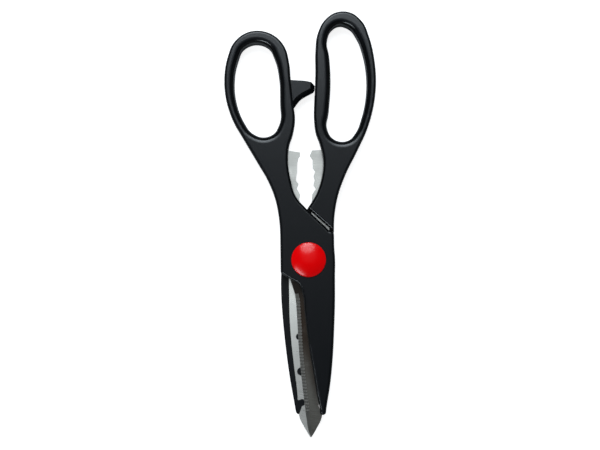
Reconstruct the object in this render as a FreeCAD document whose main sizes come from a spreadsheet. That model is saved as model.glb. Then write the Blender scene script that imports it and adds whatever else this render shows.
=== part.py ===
"""Poultry shears, closed and lying flat: handles toward +Y, blade tips toward -Y, red pivot cap up.

Two halves turn on one shoulder bolt at the origin. Each half is a flat steel blade whose tang runs up past
the pivot and ends in a toothed cracking jaw, with a black handle moulded over it. The handle is a full
thickness grip above the pivot, and a half thickness plate and blade shroud below it.

Each half is drawn in a frame of its own: z = 0 is the plane where the blades meet, +z is the outer side
of that half, and its grip is on the -x side. The front half is lifted to its height, and the rear half is
turned half a turn about Y as well.
"""
import FreeCAD, Part
import math
import os
from FreeCAD import Placement, Rotation, Vector

SIZES = [
    # alias, millimetres, what it is
    ("half_thick", 5.6, "thickness of one half, from the blade plane to its outer face"),
    ("blade_thick", 2.0, "blade stock"),
    ("blade_gap", 0.04, "from the blade plane to the inner face of each blade"),
    ("rim_gap", 0.15, "from the blade plane to the plastic around each blade"),
    ("edge_round", 1.5, "rounded outer edges of the grips, plates and shrouds"),
    ("loop_round", 3.2, "rounded inner edges of the loops"),
    ("slope_start", 8.0, "where the shroud starts to get thinner, from the pivot"),
    ("slope_length", 74.0, "length over which the shroud gets thinner"),
    ("slope_drop", 2.1, "how much lower the shroud is at its tip than the plate"),
    ("grind_width", 9.0, "main grind of the blade's outer face, across the blade"),
    ("grind_depth", 1.1, "main grind, into the blade at the cutting edge"),
    ("bevel_width", 1.9, "steeper bevel at the cutting edge, across the blade"),
    ("edge_thick", 0.3, "thickness left at the cutting edge"),
    ("serration_pitch", 1.65, "spacing of the serrations along the cutting edge"),
    ("serration_radius", 0.55, "radius of one serration groove"),
    ("serration_depth", 0.26, "depth of one serration groove"),
    ("stop_thick", 8.0, "thickness of the closing stop between the loops"),
    ("stop_bevel", 2.3, "bevels along the lower side of the closing stop"),
    ("shoulder_radius", 3.5, "shoulder of the pivot bolt"),
    ("thread_radius", 2.5, "thread of the pivot bolt"),
    ("head_radius", 6.3, "head of the pivot bolt"),
    ("head_thick", 1.4, "head of the pivot bolt"),
    ("head_round", 0.35, "rounded rim of the bolt head"),
    ("socket_radius", 2.3, "hexagon socket in the bolt head, corner to centre"),
    ("socket_depth", 0.9, "hexagon socket in the bolt head"),
    ("fit", 0.05, "running clearance of the bushing and washers on the shoulder, radial"),
    ("shoulder_fit", 0.02, "clearance of the shoulder in the rear blade, radial"),
    ("bushing_radius", 4.6, "outside of the pivot bushing"),
    ("washer_thick", 0.48, "flat washers"),
    ("washer_radius", 6.6, "flat washers"),
    ("disc_radius", 7.3, "friction washer between the blades"),
    ("disc_thick", 0.34, "friction washer between the blades"),
    ("disc_recess", 0.2, "recess for the friction washer in each blade"),
    ("spring_rise", 0.84, "height of the conical spring washer"),
    ("spring_thick", 0.44, "sheet of the conical spring washer"),
    ("nut_radius", 5.6, "hexagon pivot nut, corner to centre"),
    ("nut_thick", 1.6, "pivot nut"),
    ("bore_radius", 7.5, "bore through each plate for the bolt head or the nut"),
    ("cap_radius", 8.95, "domed cap"),
    ("cap_lip", 0.7, "straight edge of the domed cap"),
    ("cap_rise", 2.3, "dome of the cap above its straight edge"),
    ("cap_wall", 1.3, "wall of the caps"),
    ("cap_round", 0.6, "rounded rim of the domed cap"),
    ("skirt_wall", 0.95, "skirt under the domed cap"),
    ("skirt_depth", 1.6, "how far the skirt reaches into its bore"),
    ("plug_round", 0.3, "rounded rim of the rear cap"),
    ("plug_fit", 0.04, "clearance of the caps in their bores, radial"),
]

# The grips, from the outer side of the neck, round the loop and down to the notch between the necks.
FRONT_GRIP = [
    (-14.5, 13.4), (-15.1, 22.4), (-16.9, 31.8), (-20.5, 41.1), (-25.8, 50.5), (-33.0, 63.0), (-38.2, 72.4),
    (-41.4, 82.5), (-42.3, 92.5), (-40.8, 103.5), (-36.8, 112.7), (-30.2, 117.5), (-22.2, 118.1),
    (-15.0, 114.8), (-10.6, 109.2), (-8.8, 102.0), (-8.1, 93.0), (-7.1, 82.0), (-6.2, 71.5), (-7.2, 65.5),
    (-9.4, 58.5), (-10.0, 50.3), (-9.0, 42.5), (-5.6, 31.7), (-0.8, 26.2)]
FRONT_HOLE = [
    (-31.9, 109.6), (-35.6, 102.0), (-37.3, 91.0), (-36.4, 81.7), (-33.1, 72.3), (-28.4, 65.7), (-22.6, 63.4),
    (-17.0, 65.3), (-14.1, 70.2), (-13.6, 82.0), (-13.9, 93.8), (-15.8, 103.1), (-19.4, 109.8),
    (-25.4, 111.9)]
REAR_GRIP = [
    (-13.3, 14.2), (-13.8, 23.5), (-15.7, 33.0), (-19.7, 43.7), (-26.0, 56.0), (-31.1, 66.8), (-34.6, 78.8),
    (-36.0, 91.5), (-35.3, 102.5), (-33.0, 113.5), (-29.3, 122.2), (-23.4, 127.0), (-16.0, 127.3),
    (-9.8, 123.2), (-6.2, 116.5), (-5.0, 107.0), (-4.9, 97.0), (-4.3, 85.0), (-3.9, 71.5), (-4.4, 66.5),
    (-6.9, 58.8), (-8.3, 51.5), (-7.4, 42.0), (-4.2, 33.0), (0.0, 26.5)]
REAR_HOLE = [
    (-26.8, 113.5), (-29.5, 105.7), (-31.1, 96.3), (-30.9, 83.9), (-28.6, 73.0), (-25.5, 65.4), (-21.9, 61.5),
    (-17.3, 60.7), (-12.8, 62.8), (-10.4, 67.5), (-11.4, 76.5), (-12.5, 90.4), (-12.1, 104.0),
    (-11.0, 113.2), (-12.9, 118.1), (-17.0, 120.8), (-22.4, 119.4)]

# The plates and shrouds, from the notch round to the outer side of the neck again.
FRONT_CORNER = [(10.8, 14.9, 0), (13.3, 14.0, 2.2)]
REAR_CORNER = [(10.6, 15.1, 0), (13.3, 14.0, 2.2)]
FRONT_BACK = [(13.3, 8.0), (13.7, -1.0), (13.5, -9.0), (13.4, -20.0), (12.8, -35.0), (11.9, -50.0),
              (10.5, -63.5), (8.2, -77.4)]
REAR_BACK = [(13.3, 8.0), (13.8, -1.0), (14.4, -9.0), (14.45, -18.0), (13.75, -31.0), (12.35, -46.5),
             (10.7, -60.0), (7.9, -77.4)]
FRONT_TIP = [(7.9, -80.5, 1.55), (4.4, -80.5, 1.55)]
REAR_TIP = [(7.3, -80.4, 1.7), (3.2, -80.4, 1.7)]
FRONT_FACE = [(4.9, -77.6), (3.6, -71.5), (2.1, -61.0), (0.3, -50.0), (-1.4, -36.5), (-2.6, -25.0),
              (-3.3, -17.5), (-5.2, -12.8), (-8.8, -10.5)]
REAR_FACE = [(3.7, -77.6), (2.2, -72.0), (1.3, -61.0), (0.0, -50.0), (-1.4, -36.5), (-2.6, -25.0),
             (-3.3, -17.5), (-5.2, -12.8), (-8.8, -10.5)]
FRONT_HEEL = (-14.5, -6.9, 2.0)
REAR_HEEL = (-13.3, -8.3, 2.0)

# The blades: cutting edge up from the tip, tang up to the jaw, jaw down, spine down to the tip.
BLADE_TIP = (0.15, -92.5)
CUTTING_EDGE = [BLADE_TIP, (-1.0, -89.4), (-2.2, -82.0), (-3.6, -69.5), (-4.8, -57.5), (-5.7, -45.0),
                (-6.3, -31.0), (-7.3, -17.7)]
SPINE = [(10.3, -18.0), (10.2, -30.0), (9.4, -43.5), (8.1, -56.5), (6.8, -68.0), (6.2, -78.5), (5.6, -82.4),
         (4.9, -84.2), (3.6, -86.6), (1.7, -90.0), BLADE_TIP]
FRONT_TANG = [(-7.3, -17.7, 0), (-10.0, -9.0, 2.0), (-11.4, -5.0, 3.0), (-11.6, 14.0, 30.0),
              (-13.4, 28.7, 40.0), (-17.6, 41.0, 40.0), (-22.0, 50.5, 3.0), (-19.0, 56.8, 3.0)]
REAR_TANG = [(-7.3, -17.7, 0), (-9.6, -9.0, 2.0), (-10.6, -5.0, 3.0), (-10.8, 14.0, 30.0),
             (-12.2, 30.0, 40.0), (-16.0, 41.5, 40.0), (-20.4, 50.0, 3.0), (-18.0, 56.8, 3.0)]
FRONT_JAW = [(-9.9, 56.5), (-3.7, 55.5), (-3.7, 53.4), (-4.5, 52.6), (-5.3, 49.0), (-5.3, 45.4), (-6.1, 41.0),
             (-4.6, 39.1), (-5.6, 36.7), (-3.8, 33.5), (-4.4, 31.1), (-4.0, 29.6)]
REAR_JAW = [(-8.2, 56.8), (-2.5, 56.6), (-1.2, 53.8), (-2.8, 51.7), (-2.8, 47.3), (-4.1, 45.5), (-3.1, 43.2),
            (-3.7, 41.1), (-3.0, 38.5), (-4.3, 36.5), (-2.4, 33.9), (-2.0, 30.0)]
JAW_ROOT = [(-2.4, 24.8, 2.0), (9.2, 13.4, 2.0), (10.3, 9.0, 3.0)]
# Holes that lock the plastic to each blade: x, y, radius.
FRONT_LOCKS = [(5.4, -40.1, 1.7), (4.6, -58.2, 2.1), (6.0, -71.8, 1.5)]
REAR_LOCKS = [(5.4, -40.1, 1.7), (4.6, -58.2, 2.1), (4.3, -74.3, 1.8)]
# The last locking hole is a notch that is open to the spine.
NOTCH = [(4.3, -75.9), (5.1, -78.4), (6.0, -80.3), (9.5, -80.3), (9.5, -73.0), (4.3, -73.0), (4.3, -75.9)]
SERRATED = (-19.6, -78.0)

# The closing stop, moulded to the front loop: x, y, radius. It starts inside the bar of the loop.
STOP = [(-11.0, 93.0, 0), (-1.0, 92.3, 0), (2.6, 91.6, 1.2), (4.4, 89.8, 0), (4.3, 86.9, 2.4),
        (-3.2, 83.2, 12.0), (-7.6, 77.2, 0), (-11.0, 77.2, 0), (-11.0, 93.0, 0)]

doc = FreeCAD.newDocument("poultry_shears")
sheet = doc.addObject("Spreadsheet::Sheet", "dims")
for row, (alias, millimetres, meaning) in enumerate(SIZES, start=1):
    sheet.set("A%d" % row, meaning)
    sheet.set("B%d" % row, str(millimetres))
    sheet.setAlias("B%d" % row, alias)
doc.recompute()


def size(alias):
    """One driving dimension, read from the sheet."""
    return float(sheet.get(alias))


def place_half(obj, is_front):
    """Lift an object drawn in a half's own frame to its height, turning the rear half over."""
    turn = 0 if is_front else 180
    obj.Placement = Placement(Vector(0, 0, size("half_thick")), Rotation(Vector(0, 1, 0), turn))


def point(place):
    return Vector(place[0], place[1], 0)


def circle(centre, radius):
    return Part.Circle(point(centre), Vector(0, 0, 1), radius)


def arc_leaving(start, along, end):
    """The arc from start to end that leaves start in the direction along."""
    chord = end - start
    angle = along.getAngle(chord)
    if angle < 0.002:
        return Part.LineSegment(start, end)
    normal = Vector(-chord.y, chord.x, 0).normalize()
    if chord.cross(along).z < 0:
        normal = -normal
    bulge = chord.Length / 2 * math.tan(angle / 2)
    return Part.Arc(start, (start + end) / 2 + normal * bulge, end)


def smooth(places, closed=False, start=None, end=None):
    """A chain of tangent arcs through the places, two to a span; start and end are its end directions."""
    points = [point(place) for place in places]
    count = len(points)
    directions = []
    for index in range(count):
        here = points[index]
        if index == 0 and start:
            directions.append(Vector(*start).normalize())
            continue
        if index == count - 1 and end:
            directions.append(Vector(*end).normalize())
            continue
        before = here - points[index - 1]
        after = points[(index + 1) % count] - here
        # The tangent of the circle through the place and its two neighbours.
        blend = before * (after.Length / before.Length) + after * (before.Length / after.Length)
        directions.append(blend.normalize())
    curves = []
    spans = count if closed else count - 1
    for index in range(spans):
        here, there = points[index], points[(index + 1) % count]
        leave, arrive = directions[index], directions[(index + 1) % count]
        gap = there - here
        turn = 1 - leave.dot(arrive)
        reach = gap.dot(leave + arrive)
        if turn < 1e-9:
            step = gap.dot(gap) / (2 * reach)
        else:
            step = (math.sqrt(reach ** 2 + 2 * turn * gap.dot(gap)) - reach) / (2 * turn)
        join = (here + there + (leave - arrive) * step) / 2
        curves.append(arc_leaving(here, leave, join))
        curves.append(arc_leaving(there, -arrive, join))
    return curves


def rounded_path(corners):
    """Straight lines through the corners (x, y, radius), with a tangent arc where a radius is given."""
    curves = []
    here = point(corners[0])
    for index in range(1, len(corners) - 1):
        corner = point(corners[index])
        radius = corners[index][2]
        back = (point(corners[index - 1]) - corner).normalize()
        on = (point(corners[index + 1]) - corner).normalize()
        half_angle = back.getAngle(on) / 2
        if radius == 0:
            curves.append(Part.LineSegment(here, corner))
            here = corner
            continue
        reach = radius / math.tan(half_angle)
        middle = (back + on).normalize() * (radius / math.sin(half_angle) - radius)
        first = corner + back * reach
        last = corner + on * reach
        curves.append(Part.LineSegment(here, first))
        curves.append(Part.Arc(first, corner + middle, last))
        here = last
    curves.append(Part.LineSegment(here, point(corners[-1])))
    return curves


def straight(places):
    """Straight lines from place to place."""
    return rounded_path([(place[0], place[1], 0) for place in places])


def add_sketch(body, name, curves, role="XY_Plane", lift=None):
    """A sketch of the curves on one of the body's own planes, lifted along its normal by an expression."""
    sketch = body.newObject("Sketcher::SketchObject", name)
    plane = [feature for feature in body.Origin.OriginFeatures if feature.Role == role][0]
    sketch.AttachmentSupport = (plane, [""])
    sketch.MapMode = "FlatFace"
    if lift:
        sketch.setExpression("AttachmentOffset.Base.z", lift)
    for curve in curves:
        sketch.addGeometry(curve, False)
    return sketch


def extrude(body, kind, sketch, length, downward=False, both_ways=False):
    """A Pad or a Pocket of the sketch, whose length is an expression."""
    feature = body.newObject("PartDesign::" + kind, sketch.Name + "_" + kind.lower())
    feature.Profile = sketch
    feature.setExpression("Length", length)
    # A pocket cuts against the sketch's normal and a pad grows along it.
    feature.Reversed = downward if kind == "Pad" else not downward
    feature.Midplane = both_ways
    feature.Refine = True
    sketch.Visibility = False
    doc.recompute()
    return feature


def edges_where(shape, test):
    return ["Edge%d" % (index + 1) for index, edge in enumerate(shape.Edges) if test(edge)]


def round_edges(body, base, names, radius):
    fillet = body.newObject("PartDesign::Fillet", base.Name + "_round")
    fillet.Base = (base, names)
    fillet.setExpression("Radius", radius)
    doc.recompute()
    return fillet


def grip_curve(grip):
    """The outline of a grip, upright where it leaves the plate and straight into the notch."""
    into_notch = point(grip[-1]) - point(grip[-2])
    return smooth(grip, start=(0, 1, 0), end=into_notch)


def outer_outline(grip, corner, back, tip, face, heel):
    """The whole outline of a handle on its outer side, as one closed loop of curves."""
    curves = grip_curve(grip)
    curves += rounded_path([(*grip[-1], 0)] + corner + [(*back[0], 0)])
    curves += smooth(back, start=(0, -1, 0), end=(-0.15, -1, 0))
    curves += rounded_path([(*back[-1], 0)] + tip + [(*face[0], 0)])
    curves += smooth(face, start=(-0.2, 1, 0), end=(-1, 0.35, 0))
    curves += rounded_path([(*face[-1], 0), heel, (*grip[0], 0)])
    return curves


def moulded_handle(name, is_front, outline, grip, hole):
    """A grip of full thickness, and a plate and shroud of half thickness, before the blade is let in."""
    body = doc.addObject("PartDesign::Body", name)
    outer_side = add_sketch(body, name + "_outline", outline, lift="dims.rim_gap")
    extrude(body, "Pad", outer_side, "dims.half_thick - dims.rim_gap")

    # The shroud gets thinner toward its tip, on an arc that leaves the plate without a step.
    start = Vector(-size("slope_start"), size("half_thick"), 0)
    reach = size("slope_length")
    drop = size("slope_drop")
    bend = (reach ** 2 + drop ** 2) / (2 * drop)
    half_turn = math.asin(reach / bend) / 2
    middle = start + Vector(-bend * math.sin(half_turn), -bend * (1 - math.cos(half_turn)), 0)
    end = start + Vector(-reach, -drop, 0)
    above = Vector(0, 2 * drop, 0)
    slope = [Part.Arc(start, middle, end)]
    slope += straight([end, end + above, start + above, start])
    slope_sketch = add_sketch(body, name + "_slope", slope, role="YZ_Plane")
    extrude(body, "Pocket", slope_sketch, "60", both_ways=True)

    step = grip_curve(grip)
    step += straight([grip[-1], grip[0]])
    rear_side = add_sketch(body, name + "_inner", step, lift="dims.rim_gap")
    extrude(body, "Pad", rear_side, "dims.half_thick + dims.rim_gap", downward=True)

    loop = add_sketch(body, name + "_loop", smooth(hole, closed=True), lift="dims.half_thick")
    base = extrude(body, "Pocket", loop, "2 * dims.half_thick", downward=True)

    # Every edge of the outer face and of the grip's inner face is rounded, but not the line across the
    # plate where the slope starts. The loop's inner edges take a larger radius.
    top = size("half_thick")
    near = 1.0
    rim = Part.Wire([curve.toShape() for curve in smooth(hole, closed=True)])

    def on_a_face(edge):
        box = edge.BoundBox
        across_plate = box.YLength < 0.1 and box.XLength > 15
        on_outer_face = box.ZMin > top - drop - near and not across_plate
        return on_outer_face or box.ZMax < near - top

    def from_loop(edge):
        middle = edge.valueAt((edge.FirstParameter + edge.LastParameter) / 2)
        return rim.distToShape(Part.Vertex(middle.x, middle.y, 0))[0]

    near_loop = size("loop_round") + 0.1
    inner = edges_where(base.Shape, lambda edge: on_a_face(edge) and from_loop(edge) < 0.01)
    base = round_edges(body, base, inner, "dims.loop_round")
    outer = edges_where(base.Shape, lambda edge: on_a_face(edge) and from_loop(edge) > near_loop)
    base = round_edges(body, base, outer, "dims.edge_round")
    bore = add_sketch(body, name + "_bore", [circle((0, 0), size("bore_radius"))])
    extrude(body, "Pocket", bore, "dims.half_thick")
    place_half(body, is_front)
    return body


def closing_stop():
    """The wedge between the loops that stops the handles, thinner than they are and bevelled on one side."""
    body = doc.addObject("PartDesign::Body", "closing_stop")
    outline = add_sketch(body, "stop_outline", rounded_path(STOP), lift="-dims.stop_thick / 2")
    base = extrude(body, "Pad", outline, "dims.stop_thick")

    # A bevel runs on along tangent edges, so one edge on each face stands for the whole lower side.
    def on_lower_side(edge):
        box = edge.BoundBox
        return box.ZLength < 0.01 and abs(box.XMin - STOP[6][0]) < 0.01 and box.YMax < STOP[5][1]

    bevel = body.newObject("PartDesign::Chamfer", "stop_bevel")
    bevel.Base = (base, edges_where(base.Shape, on_lower_side))
    bevel.setExpression("Size", "dims.stop_bevel")
    doc.recompute()
    place_half(body, True)
    return body


def cutting_edge():
    return smooth(CUTTING_EDGE, start=(-0.4, 1, 0), end=(-0.16, 1, 0))


def ground_blade(name, is_front, tang, jaw, locks, pivot_hole):
    """A blade with its tang, jaw, bevel, pivot hole, washer recess and the holes that lock the plastic."""
    body = doc.addObject("PartDesign::Body", name)
    curves = cutting_edge()
    curves += rounded_path(tang + [(*jaw[0], 0)])
    curves += straight(jaw)
    curves += rounded_path([(*jaw[-1], 0)] + JAW_ROOT + [(*SPINE[0], 0)])
    curves += smooth(SPINE, start=(0, -1, 0), end=(-0.65, -1, 0))
    outline = add_sketch(body, name + "_outline", curves, lift="dims.blade_gap")
    extrude(body, "Pad", outline, "dims.blade_thick")

    holes = [circle((x, y), radius) for x, y, radius in locks] + [circle((0, 0), pivot_hole)]
    hole_sketch = add_sketch(body, name + "_holes", holes)
    extrude(body, "Pocket", hole_sketch, "dims.half_thick")
    notch_sketch = add_sketch(body, name + "_notch", straight(NOTCH))
    extrude(body, "Pocket", notch_sketch, "dims.half_thick")
    recess = add_sketch(body, name + "_recess", [circle((0, 0), size("disc_radius") + 0.1)])
    extrude(body, "Pocket", recess, "dims.blade_gap + dims.disc_recess")
    place_half(body, is_front)
    return body


def above_slope(low, width, rise):
    """What lies above a slope along the cutting edge, from the height low up by rise over the width."""
    edge = Part.Wire(Part.sortEdges([curve.toShape() for curve in cutting_edge()])[0])
    foot = point(BLADE_TIP) + Vector(0, 0, low)
    inward = Vector(1, 0.4, 0).normalize()
    slope = inward * width + Vector(0, 0, rise)
    outline = [foot - slope * 0.5, foot + slope * 1.5, foot - inward * width * 0.5 + Vector(0, 0, rise * 1.5)]
    return edge.makePipeShell([Part.makePolygon(outline + outline[:1])], True, False)


def main_grind(name, is_front):
    """What the main grind takes off a blade's outer face."""
    grind = doc.addObject("Part::Feature", name)
    low = size("blade_gap") + size("blade_thick") - size("grind_depth")
    grind.Shape = above_slope(low, size("grind_width"), size("grind_depth"))
    place_half(grind, is_front)
    return grind


def edge_grind(name, is_front):
    """What the bevel at the cutting edge takes off, with round-bottomed grooves across it at even steps."""
    width = size("bevel_width")
    low = size("blade_gap") + size("edge_thick")
    left_by_grind = size("blade_thick") - size("grind_depth") * (1 - width / size("grind_width"))
    rise = left_by_grind - size("edge_thick")
    cutters = [above_slope(low, width, rise)]

    slope = Vector(width, 0, rise).normalize()
    lift = size("serration_radius") - size("serration_depth")
    length = 1.25 * math.hypot(width, rise)
    edge = Part.Wire(Part.sortEdges([curve.toShape() for curve in cutting_edge()])[0])
    for place in edge.discretize(Distance=size("serration_pitch")):
        if not SERRATED[1] < place.y < SERRATED[0]:
            continue
        foot = Vector(place.x, place.y, low) + Vector(-slope.z, 0, slope.x) * lift - slope * 0.3
        cutters.append(Part.makeCylinder(size("serration_radius"), length, foot, slope))
    compound = doc.addObject("Part::Feature", name)
    compound.Shape = Part.makeCompound(cutters)
    place_half(compound, is_front)
    return compound


def cylinder(name, radius, low, high):
    """An upright cylinder on the pivot axis; its radius and its two heights are expressions."""
    solid = doc.addObject("Part::Cylinder", name)
    solid.setExpression("Radius", radius)
    solid.setExpression("Height", "(%s) - (%s)" % (high, low))
    solid.setExpression("Placement.Base.z", low)
    return solid


def hexagon(name, radius, low, high):
    """An upright hexagonal prism on the pivot axis."""
    solid = doc.addObject("Part::Prism", name)
    solid.Polygon = 6
    solid.setExpression("Circumradius", radius)
    solid.setExpression("Height", "(%s) - (%s)" % (high, low))
    solid.setExpression("Placement.Base.z", low)
    return solid


def cut(name, base, tool):
    result = doc.addObject("Part::Cut", name)
    result.Base = base
    result.Tool = tool
    return result


def fuse(name, *solids):
    result = doc.addObject("Part::MultiFuse", name)
    result.Shapes = list(solids)
    result.Refine = True
    return result


def turned(name, profile):
    """A ring about the pivot axis, turned from a closed profile of (radius, height)."""
    body = doc.addObject("PartDesign::Body", name)
    sketch = add_sketch(body, name + "_profile", straight(profile + profile[:1]), role="XZ_Plane")
    ring = body.newObject("PartDesign::Revolution", name + "_turned")
    ring.Profile = sketch
    ring.ReferenceAxis = (sketch, ["V_Axis"])
    ring.Angle = 360
    return body


def washer(name, outside, inside, low, high):
    return cut(name, cylinder(name + "_disc", outside, low, high),
               cylinder(name + "_hole", inside, "(%s) - 1" % low, "(%s) + 1" % high))


def round_rim(name, base, radius, test):
    """Round the edges of a boolean result that pass the test."""
    doc.recompute()
    fillet = doc.addObject("Part::Fillet", name)
    fillet.Base = base
    numbers = [index + 1 for index, edge in enumerate(base.Shape.Edges) if test(edge)]
    fillet.Edges = [(number, radius, radius) for number in numbers]
    return fillet


# Heights of the pivot stack above the table, as expressions.
PLANE = "dims.half_thick"
FRONT_STEEL = PLANE + " + dims.blade_gap + dims.blade_thick"
REAR_STEEL = PLANE + " - dims.blade_gap - dims.blade_thick"
RECESS_ROOF = PLANE + " + dims.blade_gap + dims.disc_recess"
WASHER_TOP = FRONT_STEEL + " + dims.washer_thick"
HEAD_LOW = WASHER_TOP + " + dims.spring_rise"
HEAD_TOP = HEAD_LOW + " + dims.head_thick"
REAR_WASHER_LOW = REAR_STEEL + " - dims.washer_thick"
NUT_LOW = REAR_WASHER_LOW + " - dims.nut_thick"
RUNNING_HOLE = "dims.shoulder_radius + dims.fit"


def pivot_bolt():
    """Shoulder bolt: a low head with a hexagon socket, a shoulder that both halves turn on, and a thread."""
    head = cylinder("bolt_head", "dims.head_radius", HEAD_LOW, HEAD_TOP)
    shoulder = cylinder("bolt_shoulder", "dims.shoulder_radius", REAR_STEEL, HEAD_LOW + " + 0.2")
    thread = cylinder("bolt_thread", "dims.thread_radius", NUT_LOW, REAR_STEEL + " + 0.2")
    socket_floor = HEAD_TOP + " - dims.socket_depth"
    socket = hexagon("bolt_socket", "dims.socket_radius", socket_floor, HEAD_TOP + " + 1")
    solid = cut("bolt_with_socket", fuse("bolt_solid", head, shoulder, thread), socket)
    doc.recompute()
    head_top = solid.Shape.BoundBox.ZMax

    def on_head_rim(edge):
        box = edge.BoundBox
        on_top = box.ZLength < 0.01 and box.ZMin > head_top - 0.01
        return on_top and box.XLength > 1.9 * size("head_radius")

    return round_rim("pivot_bolt", solid, size("head_round"), on_head_rim)


def pivot_nut():
    nut = hexagon("nut_hexagon", "dims.nut_radius", NUT_LOW, REAR_WASHER_LOW)
    return cut("pivot_nut", nut, cylinder("nut_bore", "dims.thread_radius", NUT_LOW + " - 1", REAR_STEEL))


def spring_washer():
    low = size("half_thick") + size("blade_gap") + size("blade_thick") + size("washer_thick")
    high = low + size("spring_rise")
    sheet_thick = size("spring_thick")
    inside = size("shoulder_radius") + 0.15
    outside = size("washer_radius") - 0.3
    profile = [(inside, high - sheet_thick), (outside, low), (outside, low + sheet_thick), (inside, high)]
    return turned("spring_washer", profile)


def front_cap():
    """Red cap: a shallow dome that sits on the front plate, with a skirt that snaps into the bore."""
    lip = size("cap_lip")
    rise = size("cap_rise")
    radius = size("cap_radius")
    face = 2 * size("half_thick")
    ball = (radius ** 2 + rise ** 2) / (2 * rise)
    skirt = size("bore_radius") - size("plug_fit")
    wall = size("cap_wall")
    body = doc.addObject("PartDesign::Body", "cap_body")
    crown = Vector(0, face + lip + rise, 0)
    rim = Vector(radius, face + lip, 0)
    turn = math.asin(radius / ball) / 2
    shoulder = crown + Vector(ball * math.sin(turn), -ball * (1 - math.cos(turn)), 0)
    inside = skirt - size("skirt_wall")
    foot = face - size("skirt_depth")
    profile = [Part.Arc(crown, shoulder, rim)]
    profile += straight([rim, (radius, face), (skirt, face), (skirt, foot), (inside, foot),
                         (inside, face + lip), (0, face + lip + rise - wall), crown])
    sketch = add_sketch(body, "cap_profile", profile, role="XZ_Plane")
    dome = body.newObject("PartDesign::Revolution", "cap_turned")
    dome.Profile = sketch
    dome.ReferenceAxis = (sketch, ["V_Axis"])
    dome.Angle = 360
    doc.recompute()

    def on_rim(edge):
        box = edge.BoundBox
        return box.ZLength < 0.01 and abs(box.ZMin - face - lip) < 0.01 and box.XLength > 1.9 * radius

    round_edges(body, dome, edges_where(dome.Shape, on_rim), "dims.cap_round")
    return body


def rear_cap():
    """Plug that closes the nut's bore, flush with the back."""
    disc = cylinder("rear_cap_disc", "dims.bore_radius - dims.plug_fit", "0", "dims.cap_wall")
    doc.recompute()
    return round_rim("rear_cap", disc, size("plug_round"), lambda edge: edge.BoundBox.ZMax < 0.01)


def main():
    front_outline = outer_outline(FRONT_GRIP, FRONT_CORNER, FRONT_BACK, FRONT_TIP, FRONT_FACE, FRONT_HEEL)
    rear_outline = outer_outline(REAR_GRIP, REAR_CORNER, REAR_BACK, REAR_TIP, REAR_FACE, REAR_HEEL)
    front_moulding = moulded_handle("front_moulding", True, front_outline, FRONT_GRIP, FRONT_HOLE)
    rear_moulding = moulded_handle("rear_moulding", False, rear_outline, REAR_GRIP, REAR_HOLE)
    front_pivot = size("bushing_radius")
    rear_pivot = size("shoulder_radius") + size("shoulder_fit")
    front_steel = ground_blade("front_steel", True, FRONT_TANG, FRONT_JAW, FRONT_LOCKS, front_pivot)
    rear_steel = ground_blade("rear_steel", False, REAR_TANG, REAR_JAW, REAR_LOCKS, rear_pivot)
    front_ground = cut("front_ground", front_steel, main_grind("front_grind", True))
    rear_ground = cut("rear_ground", rear_steel, main_grind("rear_grind", False))
    front_plastic = fuse("front_plastic", front_moulding, closing_stop())
    nodes = {
        "front_blade": cut("front_blade_cut", front_ground, edge_grind("front_bevel", True)),
        "rear_blade": cut("rear_blade_cut", rear_ground, edge_grind("rear_bevel", False)),
        "front_handle": cut("front_handle_cut", front_plastic, front_ground),
        "rear_handle": cut("rear_handle_cut", rear_moulding, rear_ground),
        "pivot_bushing": washer("bushing", "dims.bushing_radius", RUNNING_HOLE, RECESS_ROOF, FRONT_STEEL),
        "friction_washer": washer("friction_disc", "dims.disc_radius", RUNNING_HOLE,
                                  PLANE + " - dims.disc_thick / 2", PLANE + " + dims.disc_thick / 2"),
        "thrust_washer": washer("thrust_disc", "dims.washer_radius", RUNNING_HOLE, FRONT_STEEL, WASHER_TOP),
        "spring_washer": spring_washer(),
        "pivot_bolt": pivot_bolt(),
        "nut_washer": washer("nut_disc", "dims.washer_radius", "dims.thread_radius + 0.1", REAR_WASHER_LOW,
                             REAR_STEEL),
        "pivot_nut": pivot_nut(),
        "front_cap": front_cap(),
        "rear_cap": rear_cap(),
    }
    doc.recompute()
    for obj in doc.Objects:
        if "Invalid" in obj.State or "Error" in obj.State:
            raise RuntimeError("%s failed: %s" % (obj.Name, obj.State))
    os.makedirs("parts", exist_ok=True)
    for label, obj in nodes.items():
        obj.Label = label
        shape = obj.Shape
        if shape.isNull() or not shape.isValid() or len(shape.Solids) != 1:
            raise RuntimeError("%s is not one valid solid (%d solids)" % (label, len(shape.Solids)))
        shape.exportStep("parts/%s.step" % label)
        print("%-16s %9.1f mm3  %s" % (label, shape.Volume, shape.BoundBox))


main()
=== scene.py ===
"""Looks of the poultry shears: materials, small moulded and ground details, floor, lights and camera.

The object lies closed on the floor, handles toward +Y and blade tips toward -Y, with the red cap up.
"""
import math

import bmesh
import bpy
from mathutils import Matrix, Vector


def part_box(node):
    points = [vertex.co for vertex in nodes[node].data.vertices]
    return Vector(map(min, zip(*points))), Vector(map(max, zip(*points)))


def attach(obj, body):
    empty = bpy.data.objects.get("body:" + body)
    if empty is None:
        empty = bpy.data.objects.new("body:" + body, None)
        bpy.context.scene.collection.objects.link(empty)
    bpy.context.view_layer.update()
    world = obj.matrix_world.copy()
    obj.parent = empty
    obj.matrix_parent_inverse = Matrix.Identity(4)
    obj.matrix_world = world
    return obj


MM = 0.001
# Where the closing stop of one grip bears on the other grip.
STOP_CONTACT = Vector((4.4, 88.3, 5.6)) * MM
# Colours of the lights.
COOL = (0.84, 0.93, 1.0)
NEUTRAL = (0.95, 1.0, 0.98)

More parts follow.
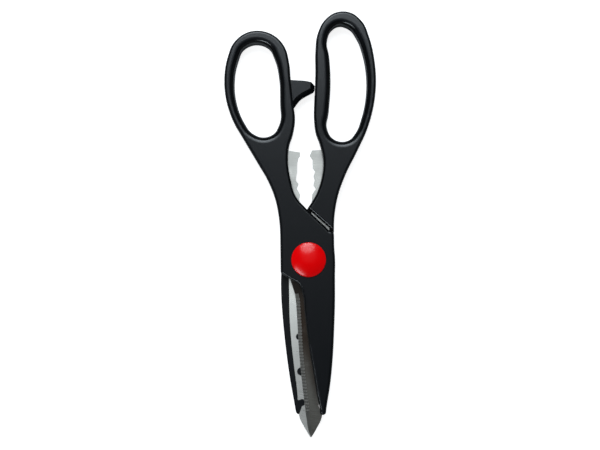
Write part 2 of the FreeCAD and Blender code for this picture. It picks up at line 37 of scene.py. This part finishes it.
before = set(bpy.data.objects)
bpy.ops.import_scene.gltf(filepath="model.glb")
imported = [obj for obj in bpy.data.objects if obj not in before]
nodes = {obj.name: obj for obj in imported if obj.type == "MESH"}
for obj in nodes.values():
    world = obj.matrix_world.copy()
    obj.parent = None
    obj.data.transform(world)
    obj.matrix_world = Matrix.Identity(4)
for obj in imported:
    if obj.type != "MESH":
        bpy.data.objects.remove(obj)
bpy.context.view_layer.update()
scene = bpy.context.scene
scene.view_settings.view_transform = "Standard"
scene.view_settings.look = "None"


# ---------------------------------------------------------------------------------------------- nodes

class Tree:
    """Short calls that build one node tree."""

    def __init__(self, owner):
        owner.use_nodes = True
        self.tree = owner.node_tree
        self.tree.nodes.clear()

    def add(self, kind, inputs=None, **settings):
        """A node of that kind. Each input is a value, or an output socket to link to it."""
        made = self.tree.nodes.new("ShaderNode" + kind)
        for key, value in settings.items():
            setattr(made, key, value)
        for key, value in (inputs or {}).items():
            self.give(made.inputs[key], value)
        return made

    def give(self, socket, value):
        if isinstance(value, bpy.types.NodeSocket):
            self.tree.links.new(value, socket)
        else:
            socket.default_value = value

    def math(self, operation, first, second=0.0, third=0.0):
        return self.add("Math", {0: first, 1: second, 2: third}, operation=operation).outputs[0]

    def times(self, first, second):
        return self.math("MULTIPLY", first, second)

    def ramp(self, value, low, high, at_low=0.0, at_high=1.0):
        """The value carried smoothly from the range low..high to at_low..at_high, and held outside it."""
        inputs = {"Value": value, "From Min": low, "From Max": high, "To Min": at_low, "To Max": at_high}
        return self.add("MapRange", inputs, interpolation_type="SMOOTHSTEP").outputs["Result"]

    def mix(self, amount, first, second):
        """The colour first, going to second as amount goes from 0 to 1."""
        made = self.add("Mix", data_type="RGBA")
        colour_inputs = [socket for socket in made.inputs if socket.type == "RGBA"]
        self.give(made.inputs[0], amount)
        self.give(colour_inputs[0], first)
        self.give(colour_inputs[1], second)
        return [socket for socket in made.outputs if socket.type == "RGBA"][0]

    def coordinates(self, kind):
        return self.add("TexCoord").outputs[kind]

    def split(self, vector):
        """The X, Y and Z of a vector, by name."""
        return self.add("SeparateXYZ", {0: vector}).outputs

    def millimetres(self, scale=(1, 1, 1), turn=0.0):
        """Object coordinates in millimetres, turned about Z and then stretched."""
        place = self.coordinates("Object")
        turned = self.add("Mapping", {"Vector": place, "Rotation": (0, 0, turn), "Scale": (1 / MM,) * 3})
        return self.add("Mapping", {"Vector": turned.outputs[0], "Scale": scale}).outputs[0]

    def noise(self, where, per_mm, detail=2.0, roughness=0.5):
        inputs = {"Vector": where, "Scale": per_mm, "Detail": detail, "Roughness": roughness}
        return self.add("TexNoise", inputs).outputs["Fac"]

    def bump(self, height, depth_mm, strength, normal=None):
        """A surface normal tipped by the height, on top of another normal if one is given."""
        inputs = {"Height": height, "Distance": depth_mm * MM, "Strength": strength}
        if normal is not None:
            inputs["Normal"] = normal
        return self.add("Bump", inputs).outputs["Normal"]

    def surface(self, **inputs):
        """A Principled surface as the material's output; an input's name has _ for each space."""
        named = {key.replace("_", " "): value for key, value in inputs.items()}
        shader = self.add("BsdfPrincipled", named)
        self.add("OutputMaterial", {"Surface": shader.outputs[0]})


def rgb(red, green, blue):
    return (red, green, blue, 1.0)


def new_material(name):
    material = bpy.data.materials.new(name)
    return material, Tree(material)


# ------------------------------------------------------------------------------------------ materials

def black_plastic():
    """Satin black moulded plastic with a fine spark-eroded grain, rubbed smoother on its rounded edges,
    which are also painted darker as painted shade.
    """
    material, tree = new_material("satin_black_plastic")
    where = tree.millimetres()
    grain = tree.noise(where, 5.5, detail=3.0, roughness=0.6)
    cloud = tree.noise(where, 0.09)
    scuff = tree.noise(tree.millimetres((1.0, 0.12, 1.0), 0.35), 2.4, detail=4.0, roughness=0.7)
    scratches = tree.ramp(scuff, 0.62, 0.72)

    # 1 on a flat top or bottom and 0 on an upright wall; the rounded edges lie between.
    level = tree.math("ABSOLUTE", tree.split(tree.coordinates("Normal"))["Z"])
    on_round = tree.times(tree.ramp(level, 0.25, 0.6), tree.ramp(level, 0.99, 0.85))
    # The rounded edges are rubbed smoother and carry painted shade, in patches.
    rubbed_and_shaded = tree.times(on_round, tree.ramp(cloud, 0.3, 0.6, 0.6, 1.0))

    colour = tree.mix(cloud, rgb(0.0030, 0.0040, 0.0055), rgb(0.0045, 0.0054, 0.0070))
    # Painted shade: the rounded edges are painted darker.
    colour = tree.mix(rubbed_and_shaded, colour, rgb(0.0012, 0.0016, 0.0020))
    colour = tree.mix(tree.times(scratches, 0.18), colour, rgb(0.030, 0.031, 0.033))
    rough = tree.math("SUBTRACT", tree.ramp(grain, 0.3, 0.7, 0.28, 0.36), tree.times(rubbed_and_shaded, 0.14))
    normal = tree.bump(grain, 0.035, 0.30)
    normal = tree.bump(scratches, 0.01, 0.25, normal)
    tree.surface(Base_Color=colour, Roughness=rough, Specular_IOR_Level=0.40, Normal=normal)
    return material


def ground_steel(name, outward):
    """Stainless steel with fine grinding marks across the blade and a few stray scratches along it.

    The marks stretch reflections along the blade. Below the pivot the ground outer face is painted far
    darker than the polished inner face, as painted shade, and browner toward the pivot; outward is its side,
    1 up or -1 down."""
    material, tree = new_material(name)
    marks = tree.noise(tree.millimetres((0.10, 9.0, 1.0), 0.12), 1.3, detail=4.0, roughness=0.65)
    coarse = tree.noise(tree.millimetres((0.06, 2.2, 1.0), 0.12), 1.0)
    stray = tree.noise(tree.millimetres((7.0, 0.15, 1.0), -0.25), 1.0, detail=3.0)
    scratches = tree.ramp(stray, 0.66, 0.74)
    cloud = tree.noise(tree.millimetres(), 0.16, detail=3.0)
    mark = tree.ramp(marks, 0.3, 0.7)

    place = tree.split(tree.millimetres())
    along = place["Y"]
    facing = tree.split(tree.coordinates("Normal"))
    upright = tree.times(facing["Z"], outward)

    # Painted shade: the jaws get a darker copy of the inner face's steel.
    jaw = tree.mix(mark, rgb(0.52, 0.53, 0.53), rgb(0.70, 0.71, 0.71))
    inner = tree.mix(mark, rgb(0.64, 0.65, 0.65), rgb(0.80, 0.81, 0.81))
    # Painted light: the inner face is painted lighter toward the pivot.
    inner = tree.mix(tree.ramp(along, -60, -22, 0.0, 0.8), inner, rgb(0.88, 0.90, 0.90))
    steel = tree.mix(tree.ramp(along, -2, -16), jaw, inner)

    # Painted shade: the outer face gets darker toward the pivot and, except near the tip, toward the edge of
    # the plastic.
    near_pivot = tree.times(tree.ramp(along, -74, -34), tree.ramp(cloud, 0.0, 0.42))
    near_plastic = tree.times(past_plastic_edge(tree, place), tree.ramp(along, -84, -60))
    # Painted shade: the outer face is painted far darker than the inner face.
    face = tree.mix(mark, rgb(0.12, 0.118, 0.112), rgb(0.19, 0.188, 0.18))
    face = tree.mix(near_pivot, face, rgb(0.036, 0.025, 0.020))
    face = tree.mix(tree.times(near_plastic, 0.75), face, rgb(0.040, 0.033, 0.028))
    face = tree.mix(tree.ramp(along, -24, -14), face, rgb(0.022, 0.020, 0.019))

    # Facing up squarely is 1, the main grind is at 0.993 and the steeper bevel at the cutting edge at 0.916.
    # Only the walls of the grooves across the bevel face along the blade.
    on_face = tree.times(tree.ramp(upright, 0.50, 0.80), tree.ramp(along, -4, -12))
    on_bevel = tree.times(on_face, tree.ramp(upright, 0.985, 0.965))
    in_groove = tree.times(on_bevel, tree.ramp(tree.math("ABSOLUTE", facing["Y"]), 0.05, 0.35))
    # Painted highlight: the bevel at the cutting edge is painted lighter, and the walls of its grooves
    # lighter still.
    face = tree.mix(tree.times(on_bevel, 0.85), face, rgb(0.27, 0.27, 0.265))
    face = tree.mix(in_groove, face, rgb(0.62, 0.62, 0.61))
    colour = tree.mix(on_face, steel, face)

    rough = tree.ramp(cloud, 0.3, 0.7, 0.29, 0.39)
    rough = tree.math("ADD", rough, tree.ramp(marks, 0.35, 0.65, -0.04, 0.05))
    normal = tree.bump(marks, 0.012, 0.55)
    normal = tree.bump(coarse, 0.02, 0.25, normal)
    normal = tree.bump(scratches, 0.01, 0.30, normal)
    lengthwise = tree.add("VectorTransform", {"Vector": (0, 1, 0)}, vector_type="VECTOR",
                          convert_from="OBJECT", convert_to="WORLD").outputs[0]
    tree.surface(Base_Color=colour, Metallic=1.0, Roughness=rough, Anisotropic=0.6, Tangent=lengthwise,
                 Normal=normal)
    return material


def past_plastic_edge(tree, place):
    """0 well short of the edge of the front shroud and 1 at it; the edge is taken as a straight line.

    The place is in millimetres. The line goes through one point, square to one direction."""
    edge_x, edge_y = -2.6, -25.0
    square_x, square_y = 0.990, 0.141
    distance = tree.math("MULTIPLY_ADD", place["X"], square_x, -edge_x * square_x - edge_y * square_y)
    distance = tree.math("MULTIPLY_ADD", place["Y"], square_y, distance)
    return tree.ramp(distance, -4.0, -0.5)


def red_plastic():
    """Glossy red moulded plastic with a faint orange-peel and hairline scratches."""
    material, tree = new_material("glossy_red_plastic")
    where = tree.millimetres()
    peel = tree.noise(where, 0.9, detail=1.0)
    cloud = tree.noise(where, 0.2)
    fine = tree.noise(tree.millimetres((0.25, 5.0, 1.0), 0.9), 1.2)
    hairlines = tree.ramp(fine, 0.70, 0.76)
    colour = tree.mix(cloud, rgb(0.90, 0.0006, 0.0016), rgb(0.96, 0.0010, 0.0024))
    rough = tree.math("ADD", tree.ramp(cloud, 0.3, 0.7, 0.18, 0.24), tree.times(hairlines, 0.15))
    tree.surface(Base_Color=colour, Roughness=rough, Specular_IOR_Level=0.28,
                 Normal=tree.bump(peel, 0.02, 0.12))
    return material


def plain_metal(name, bright, dull, roughness):
    """A turned or pressed fastener: rings of fine tool marks around the pivot axis."""
    material, tree = new_material(name)
    place = tree.split(tree.coordinates("Object"))
    squares = tree.math("ADD", tree.math("POWER", place["X"], 2.0), tree.math("POWER", place["Y"], 2.0))
    radius = tree.math("SQRT", squares)
    rings_per_mm = 9.0
    inputs = {"W": tree.times(radius, rings_per_mm / MM), "Scale": 1.0, "Detail": 2.0}
    rings = tree.add("TexNoise", inputs, noise_dimensions="1D").outputs["Fac"]
    tree.surface(Base_Color=tree.mix(rings, dull, bright), Metallic=1.0,
                 Roughness=tree.ramp(rings, 0.3, 0.7, roughness, roughness + 0.1),
                 Normal=tree.bump(rings, 0.01, 0.4))
    return material


def nylon():
    """Natural nylon: milky and slightly translucent."""
    material, tree = new_material("natural_nylon")
    cloud = tree.noise(tree.millimetres(), 0.8, detail=3.0)
    colour = tree.mix(cloud, rgb(0.72, 0.71, 0.66), rgb(0.80, 0.79, 0.74))
    tree.surface(Base_Color=colour, Roughness=tree.ramp(cloud, 0.3, 0.7, 0.40, 0.50),
                 Subsurface_Weight=0.2, Subsurface_Scale=0.5 * MM, Normal=tree.bump(cloud, 0.02, 0.2))
    return material


def paint_nodes():
    plastic = black_plastic()
    red = red_plastic()
    fastener = plain_metal("turned_steel", rgb(0.60, 0.60, 0.60), rgb(0.42, 0.42, 0.42), 0.28)
    bronze = plain_metal("bearing_bronze", rgb(0.74, 0.52, 0.27), rgb(0.55, 0.36, 0.17), 0.32)
    finishes = {"front_handle": plastic, "rear_handle": plastic,
                "front_blade": ground_steel("front_ground_steel", 1.0),
                "rear_blade": ground_steel("rear_ground_steel", -1.0),
                "front_cap": red, "rear_cap": red, "pivot_bolt": fastener, "pivot_nut": fastener,
                "nut_washer": fastener, "thrust_washer": fastener, "spring_washer": fastener,
                "pivot_bushing": bronze, "friction_washer": nylon()}
    for name, material in finishes.items():
        nodes[name].data.materials.clear()
        nodes[name].data.materials.append(material)


# ----------------------------------------------------------------------------------------- mould lines

def parting_line(handle, body):
    """The fine raised line that the two halves of the mould leave around a grip, at half its height."""
    bead_radius = 0.11 * MM
    worn_radius = 3 * MM
    lowest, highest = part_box(handle)
    parting = (lowest[2] + highest[2]) / 2
    mesh = bmesh.new()
    mesh.from_mesh(nodes[handle].data)
    bmesh.ops.remove_doubles(mesh, verts=mesh.verts, dist=0.001 * MM)
    everything = mesh.verts[:] + mesh.edges[:] + mesh.faces[:]
    found = bmesh.ops.bisect_plane(mesh, geom=everything, plane_co=(0, 0, parting), plane_no=(0, 0, 1),
                                   clear_inner=True, clear_outer=True)
    on_line = {item for item in found["geom_cut"] if isinstance(item, bmesh.types.BMVert)}
    # The line is left off where the closing stop bears on the other grip.
    left_off = [vert for vert in mesh.verts
                if vert not in on_line or (vert.co - STOP_CONTACT).length < worn_radius]
    bmesh.ops.delete(mesh, geom=left_off, context="VERTS")
    outline = bpy.data.meshes.new(handle + "_parting_line")
    mesh.to_mesh(outline)
    mesh.free()
    piece = bpy.data.objects.new(handle + "_parting_line", outline)
    scene.collection.objects.link(piece)
    bpy.ops.object.select_all(action="DESELECT")
    piece.select_set(True)
    bpy.context.view_layer.objects.active = piece
    bpy.ops.object.convert(target="CURVE")
    piece.data.bevel_depth = bead_radius
    piece.data.bevel_resolution = 1
    bpy.ops.object.convert(target="MESH")
    piece.data.materials.clear()
    piece.data.materials.append(nodes[handle].data.materials[0])
    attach(piece, body)


# ------------------------------------------------------------------------------ floor, lights, camera

def add_floor():
    """White paper just under the object. It glows for the camera only, so that its shadows stay pale."""
    half = 3.0
    gap = 0.05 * MM
    mesh = bpy.data.meshes.new("floor")
    corners = [(-half, -half, 0), (half, -half, 0), (half, half, 0), (-half, half, 0)]
    mesh.from_pydata(corners, [], [(0, 1, 2, 3)])
    floor = bpy.data.objects.new("floor", mesh)
    floor.location.z = -gap
    scene.collection.objects.link(floor)
    material, tree = new_material("white_paper")
    fibre = tree.noise(tree.millimetres(), 1.5, detail=4.0)
    colour = tree.mix(fibre, rgb(0.56, 0.56, 0.56), rgb(0.60, 0.60, 0.60))
    seen = tree.add("LightPath").outputs["Is Camera Ray"]
    tree.surface(Base_Color=colour, Roughness=0.9, Specular_IOR_Level=0.0,
                 Emission_Color=rgb(1.0, 1.0, 1.0), Emission_Strength=tree.times(seen, 0.86))
    mesh.materials.append(material)


def add_sky():
    """A dim room, darkest high up, with a glow overhead. Past the floor, the camera sees white instead."""
    world = bpy.data.worlds.new("studio")
    scene.world = world
    tree = Tree(world)
    lean = math.radians(14)
    room_edge = math.cos(math.radians(45))
    glow_edge = math.cos(math.radians(32))
    toward_glow = tree.add("VectorMath", {0: tree.coordinates("Generated"),
                                          1: (0, math.sin(lean), math.cos(lean))},
                           operation="DOT_PRODUCT").outputs["Value"]
    room = tree.ramp(toward_glow, 0.0, room_edge, 0.16, 0.02)
    glow = tree.ramp(toward_glow, glow_edge, 1.0, 0.0, 0.34)
    brightness = tree.math("ADD", glow, room)
    dim = tree.add("Background", {"Color": rgb(0.93, 0.97, 1.0), "Strength": brightness})
    white = tree.add("Background", {"Color": rgb(1.0, 1.0, 1.0), "Strength": 1.0})
    seen = tree.add("LightPath").outputs["Is Camera Ray"]
    chosen = tree.add("MixShader", {0: seen, 1: dim.outputs[0], 2: white.outputs[0]})
    tree.add("OutputWorld", {"Surface": chosen.outputs[0]})


def add_softbox(name, centre, size, radiance, colour, lit):
    """An oval light that faces the pivot and lights only the objects given; centre and size in metres."""
    width, height = size
    light = bpy.data.lights.new(name, "AREA")
    light.shape = "ELLIPSE"
    light.size = width
    light.size_y = height
    oval_area = width * height * math.pi / 4
    light.energy = radiance * math.pi * oval_area
    light.color = colour
    lamp = bpy.data.objects.new(name, light)
    lamp.location = centre
    lamp.rotation_euler = Vector(centre).to_track_quat("Z", "Y").to_euler()
    scene.collection.objects.link(lamp)
    group = bpy.data.collections.new(name + "_group")
    for obj in lit:
        group.objects.link(obj)
    lamp.light_linking.receiver_collection = group


def add_lights():
    """Three lights for everything but the blades, and a wide dim panel that the polished blades mirror."""
    blades = [nodes["front_blade"], nodes["rear_blade"]]
    others = [obj for obj in scene.objects if obj.type == "MESH" and obj not in blades]
    lamps = [("top_softbox", (-0.02, 0.38, 0.48), (0.46, 0.36), 6.1),
             ("far_strip", (-0.05, 0.46, 0.40), (0.36, 0.10), 7.0),
             ("low_left_strip", (-0.35, -0.46, 0.46), (0.50, 0.07), 18.0)]
    for name, centre, size, radiance in lamps:
        add_softbox(name, centre, size, radiance, COOL, others)
    add_softbox("blade_panel", (-0.14, 0.17, 0.58), (1.15, 0.62), 0.93, NEUTRAL, blades)


def add_camera():
    """Straight above, with a long lens; the object leans a little to the left in the picture."""
    middle = Vector((-4.2, 17.9, 8.0)) * MM
    view_width = 310.3 * MM
    distance = 550 * MM
    lean = math.radians(0.75)
    data = bpy.data.cameras.new("camera")
    data.sensor_width = 36.0
    data.lens = data.sensor_width * distance / view_width
    camera = bpy.data.objects.new("camera", data)
    camera.location = middle + Vector((0, 0, distance))
    camera.rotation_euler = (0, 0, -lean)
    scene.collection.objects.link(camera)
    scene.camera = camera


def main():
    paint_nodes()
    parting_line("front_handle", "front_half")
    parting_line("rear_handle", "rear_half")
    add_floor()
    add_sky()
    add_lights()
    add_camera()


main()
